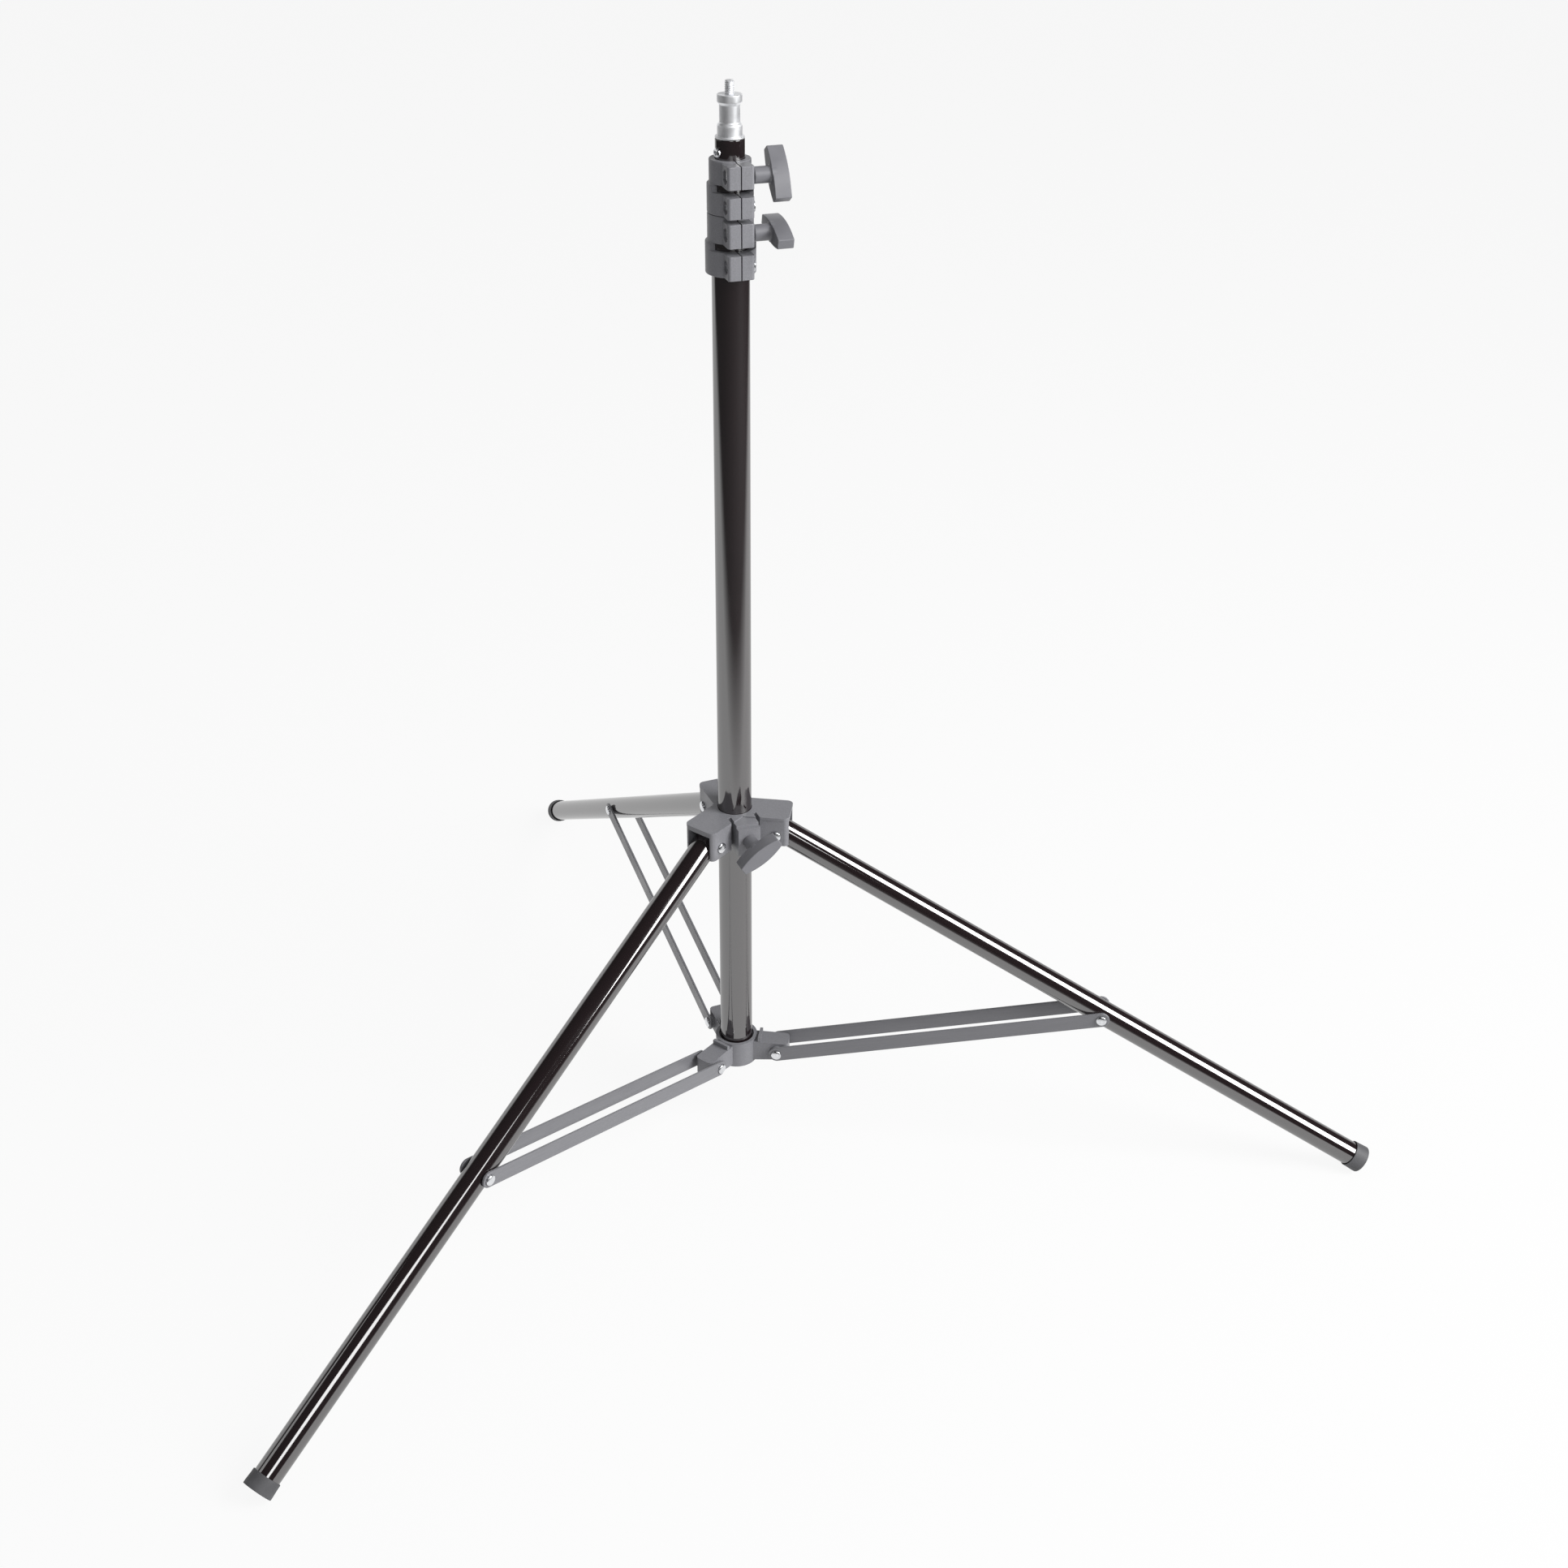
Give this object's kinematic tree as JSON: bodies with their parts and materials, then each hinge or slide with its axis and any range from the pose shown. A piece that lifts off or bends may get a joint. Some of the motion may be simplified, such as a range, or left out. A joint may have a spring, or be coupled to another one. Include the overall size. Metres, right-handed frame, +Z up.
{
  "type": "light stand",
  "caption": "Folding tripod light stand: telescoping tubes locked by split clamps with T-knobs, braced legs under a sliding collar, and a stepped spigot with a stud on top.",
  "frame": {"origin": "on the floor under the middle of the bounding box of the stand, set up and with its sections closed", "axes": "+Z up along the column, +Y over the leg that stands opposite the collar's knob, +X to the side of the clamps' knobs"},
  "size_m": [0.878, 0.763, 0.8157],
  "materials": {
    "tube_black": "gloss",
    "casting_grey": "satin",
    "knob_grey": "satin",
    "brace_grey": "satin",
    "spigot_nickel": "satin",
    "zinc": "satin",
    "brass": "satin",
    "rubber": "matte",
    "nylon": "satin"
  },
  "bodies": {
    "column": {"base_tube": "tube_black", "base_plug": "nylon", "lower_collar": "casting_grey", "lower_collar_rivet_a": "zinc", "lower_collar_rivet_b": "zinc", "lower_collar_rivet_c": "zinc", "lower_clamp": "casting_grey", "lower_clamp_seat_bolt": "zinc", "lower_clamp_seat_nut": "zinc", "lower_clamp_grip_nut": "zinc"},
    "middle_section": {"middle_tube": "tube_black", "middle_tube_bush": "nylon", "upper_clamp": "casting_grey", "upper_clamp_seat_bolt": "zinc", "upper_clamp_seat_nut": "zinc", "upper_clamp_grip_nut": "zinc"},
    "top_section": {"top_tube": "tube_black", "top_tube_bush": "nylon", "spigot": "spigot_nickel", "spigot_screw": "zinc"},
    "lower_knob": {"lower_knob": "knob_grey", "lower_knob_stud": "zinc"},
    "upper_knob": {"upper_knob": "knob_grey", "upper_knob_stud": "zinc"},
    "leg_collar": {"leg_collar": "casting_grey", "collar_brake_pad": "brass", "leg_hinge_rivet_a": "zinc", "leg_hinge_rivet_b": "zinc", "leg_hinge_rivet_c": "zinc"},
    "collar_knob": {"collar_knob": "knob_grey", "collar_knob_stud": "zinc"},
    "leg_a": {"leg_tube_a": "tube_black", "foot_cap_a": "rubber"},
    "leg_b": {"leg_tube_b": "tube_black", "foot_cap_b": "rubber"},
    "leg_c": {"leg_tube_c": "tube_black", "foot_cap_c": "rubber"},
    "braces_a": {"brace_a_left": "brace_grey", "brace_a_right": "brace_grey", "brace_rivet_a_left": "zinc", "brace_rivet_a_right": "zinc"},
    "braces_b": {"brace_b_left": "brace_grey", "brace_b_right": "brace_grey", "brace_rivet_b_left": "zinc", "brace_rivet_b_right": "zinc"},
    "braces_c": {"brace_c_left": "brace_grey", "brace_c_right": "brace_grey", "brace_rivet_c_left": "zinc", "brace_rivet_c_right": "zinc"}
  },
  "joints": [
    {"name": "middle_slide", "type": "slide", "parent": "column", "child": "middle_section", "axis": [0, 0, 1], "range_m": [0, 0.56]},
    {"name": "top_slide", "type": "slide", "parent": "middle_section", "child": "top_section", "axis": [0, 0, 1], "range_m": [0, 0.56]},
    {"name": "collar_slide", "type": "slide", "parent": "column", "child": "leg_collar", "axis": [0, 0, 1], "range_m": [0, 0.3437]},
    {"name": "leg_a_hinge", "type": "hinge", "parent": "leg_collar", "child": "leg_a", "pos_m": [-0.02823, -0.13879, 0.27735], "axis": [0.5, -0.866, 0], "range_deg": [0, 57.1]},
    {"name": "leg_b_hinge", "type": "hinge", "parent": "leg_collar", "child": "leg_b", "pos_m": [0.02823, -0.13879, 0.27735], "axis": [0.5, 0.866, 0], "range_deg": [0, 57.1]},
    {"name": "leg_c_hinge", "type": "hinge", "parent": "leg_collar", "child": "leg_c", "pos_m": [0, -0.08989, 0.27735], "axis": [-1, 0, 0], "range_deg": [0, 57.1]},
    {"name": "braces_a_hinge", "type": "hinge", "parent": "column", "child": "braces_a", "pos_m": [-0.02919, -0.13934, 0.0718], "axis": [-0.5, 0.866, 0], "range_deg": [0, 73.4]},
    {"name": "braces_b_hinge", "type": "hinge", "parent": "column", "child": "braces_b", "pos_m": [0.02919, -0.13934, 0.0718], "axis": [-0.5, -0.866, 0], "range_deg": [0, 73.4]},
    {"name": "braces_c_hinge", "type": "hinge", "parent": "column", "child": "braces_c", "pos_m": [0, -0.08879, 0.0718], "axis": [1, 0, 0], "range_deg": [0, 73.4]},
    {"name": "lower_knob_turn", "type": "hinge", "parent": "column", "child": "lower_knob", "pos_m": [0.00758, -0.14127, 0.725], "axis": [0.9974, -0.0715, 0], "range_deg": [0, 450]},
    {"name": "upper_knob_turn", "type": "hinge", "parent": "middle_section", "child": "upper_knob", "pos_m": [0.00758, -0.14127, 0.7611], "axis": [0.9974, -0.0715, 0], "range_deg": [0, 450]},
    {"name": "collar_knob_turn", "type": "hinge", "parent": "leg_collar", "child": "collar_knob", "pos_m": [0, -0.15249, 0.27955], "axis": [0, -1, 0], "range_deg": [0, 450]}
  ],
  "couplings": [
    {"joint": "leg_a_hinge", "follows": "collar_slide", "rad_per_m": 2.8995},
    {"joint": "leg_b_hinge", "follows": "collar_slide", "rad_per_m": 2.8995},
    {"joint": "leg_c_hinge", "follows": "collar_slide", "rad_per_m": 2.8995},
    {"joint": "braces_a_hinge", "follows": "collar_slide", "rad_per_m": 3.7264},
    {"joint": "braces_b_hinge", "follows": "collar_slide", "rad_per_m": 3.7264},
    {"joint": "braces_c_hinge", "follows": "collar_slide", "rad_per_m": 3.7264}
  ]
}
